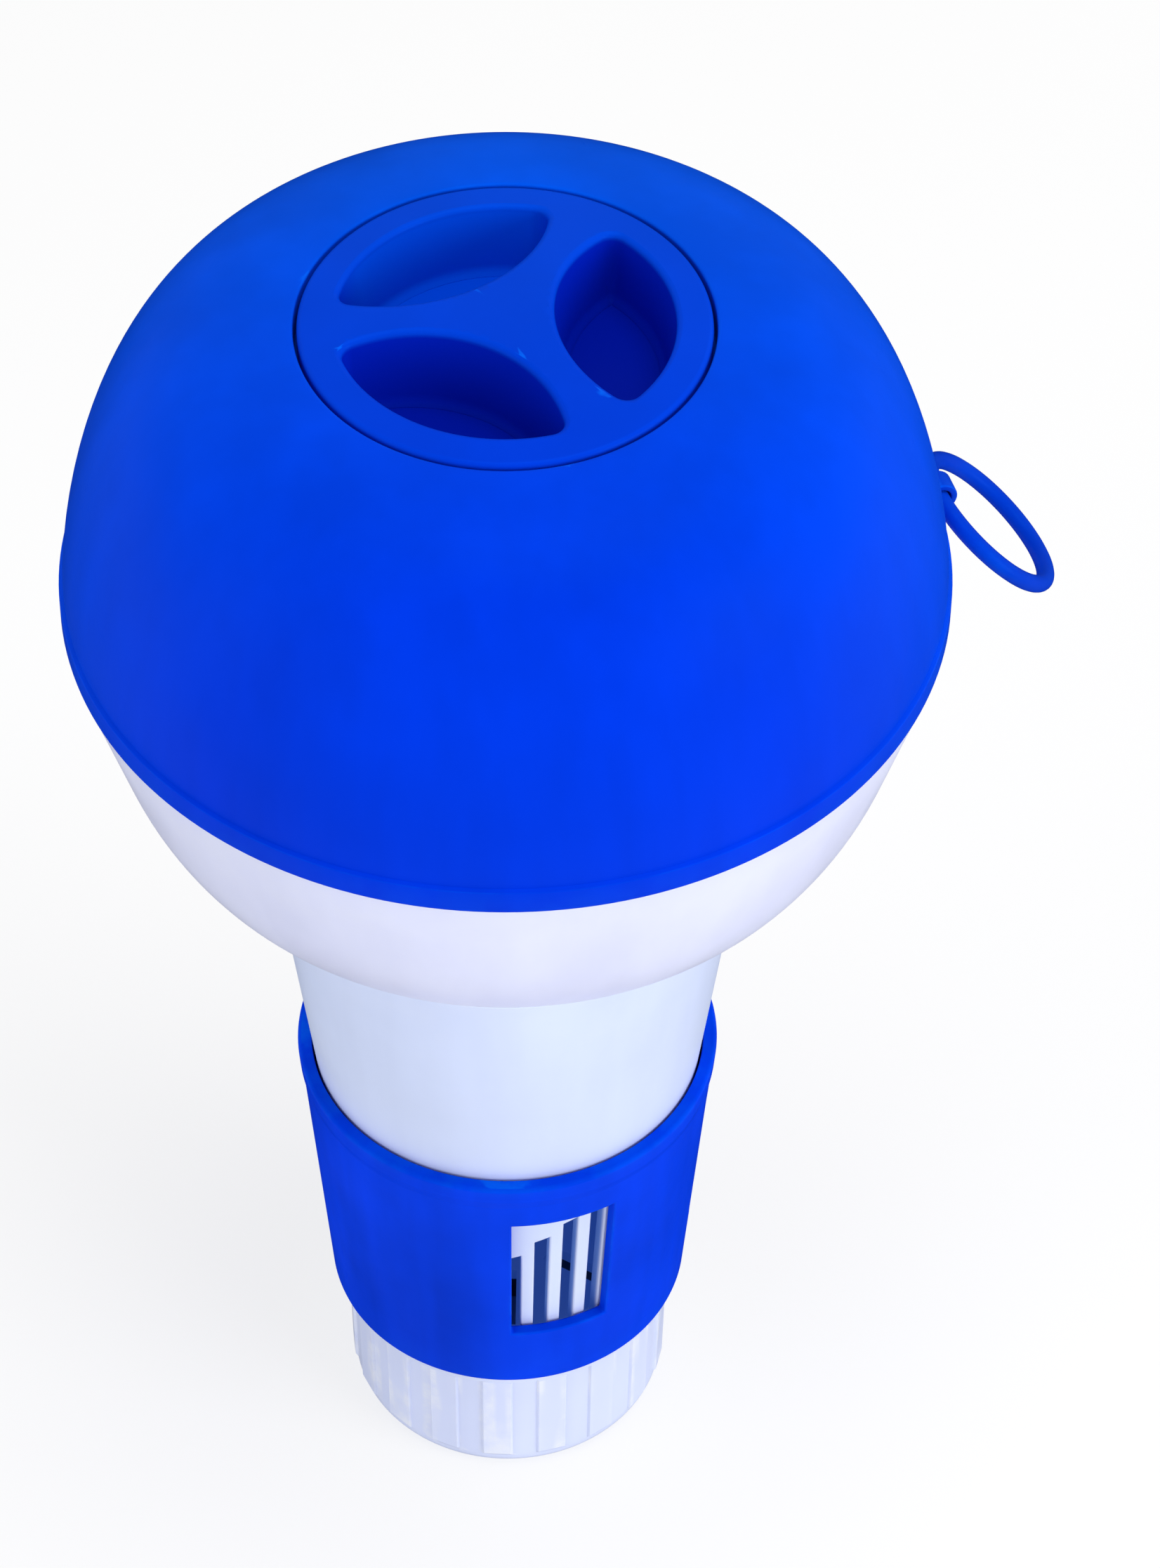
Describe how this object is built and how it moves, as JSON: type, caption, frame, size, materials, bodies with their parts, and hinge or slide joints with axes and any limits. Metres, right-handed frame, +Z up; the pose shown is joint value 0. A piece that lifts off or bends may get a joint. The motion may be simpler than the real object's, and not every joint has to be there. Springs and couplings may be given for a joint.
{
  "type": "floating chlorine dispenser",
  "caption": "Floating pool chlorine dispenser: domed float with a twist lid over a slotted tablet tube, a turning flow collar, a ribbed base and a tether ring.",
  "frame": {"origin": "centre of the flat underside of the base cap", "axes": "+Z up along the tube's axis; -Y is the front, where the flow window shows; +X is the side with the tether ring"},
  "size_m": [0.1438, 0.127, 0.2282],
  "materials": {
    "dome_blue": "smooth moulded",
    "lid_blue": "smooth moulded",
    "collar_blue": "smooth moulded",
    "ring_blue": "smooth moulded",
    "bowl_white": "smooth moulded",
    "tube_white": "smooth moulded",
    "cap_white": "ribbed, moulded",
    "inner_white": "moulded",
    "seal_rubber": "matte",
    "ballast": "epoxy coated"
  },
  "bodies": {
    "float": {"float_dome": "dome_blue", "float_bowl": "bowl_white", "filler_neck": "inner_white", "tablet_tube": "tube_white", "base_cap": "cap_white", "tablet_grate": "inner_white", "ballast_ring": "ballast", "rim_seal": "seal_rubber", "neck_upper_seal": "seal_rubber", "neck_lower_seal": "seal_rubber", "tube_seal": "seal_rubber", "ring_lug": "ring_blue"},
    "collar": {"flow_collar": "collar_blue"},
    "gasket": {"lid_gasket": "seal_rubber"},
    "lid": {"lid": "lid_blue"},
    "ring": {"tether_ring": "ring_blue"}
  },
  "joints": [
    {"name": "collar_turn", "type": "hinge", "parent": "float", "child": "collar", "pos_m": [0, 0, 0.053], "axis": [0, 0, 1], "range_deg": [-58, 18]},
    {"name": "lid_lift", "type": "slide", "parent": "float", "child": "gasket", "axis": [0, 0, 1], "range_m": [0, 0.06]},
    {"name": "lid_twist", "type": "hinge", "parent": "gasket", "child": "lid", "pos_m": [0, 0, 0.2229], "axis": [0, 0, 1], "range_deg": [-40, 0]},
    {"name": "ring_swing", "type": "hinge", "parent": "float", "child": "ring", "pos_m": [0.06218, 0.01961, 0.1767], "axis": [0.3007, -0.9537, 0], "range_deg": [-60, 135]}
  ]
}
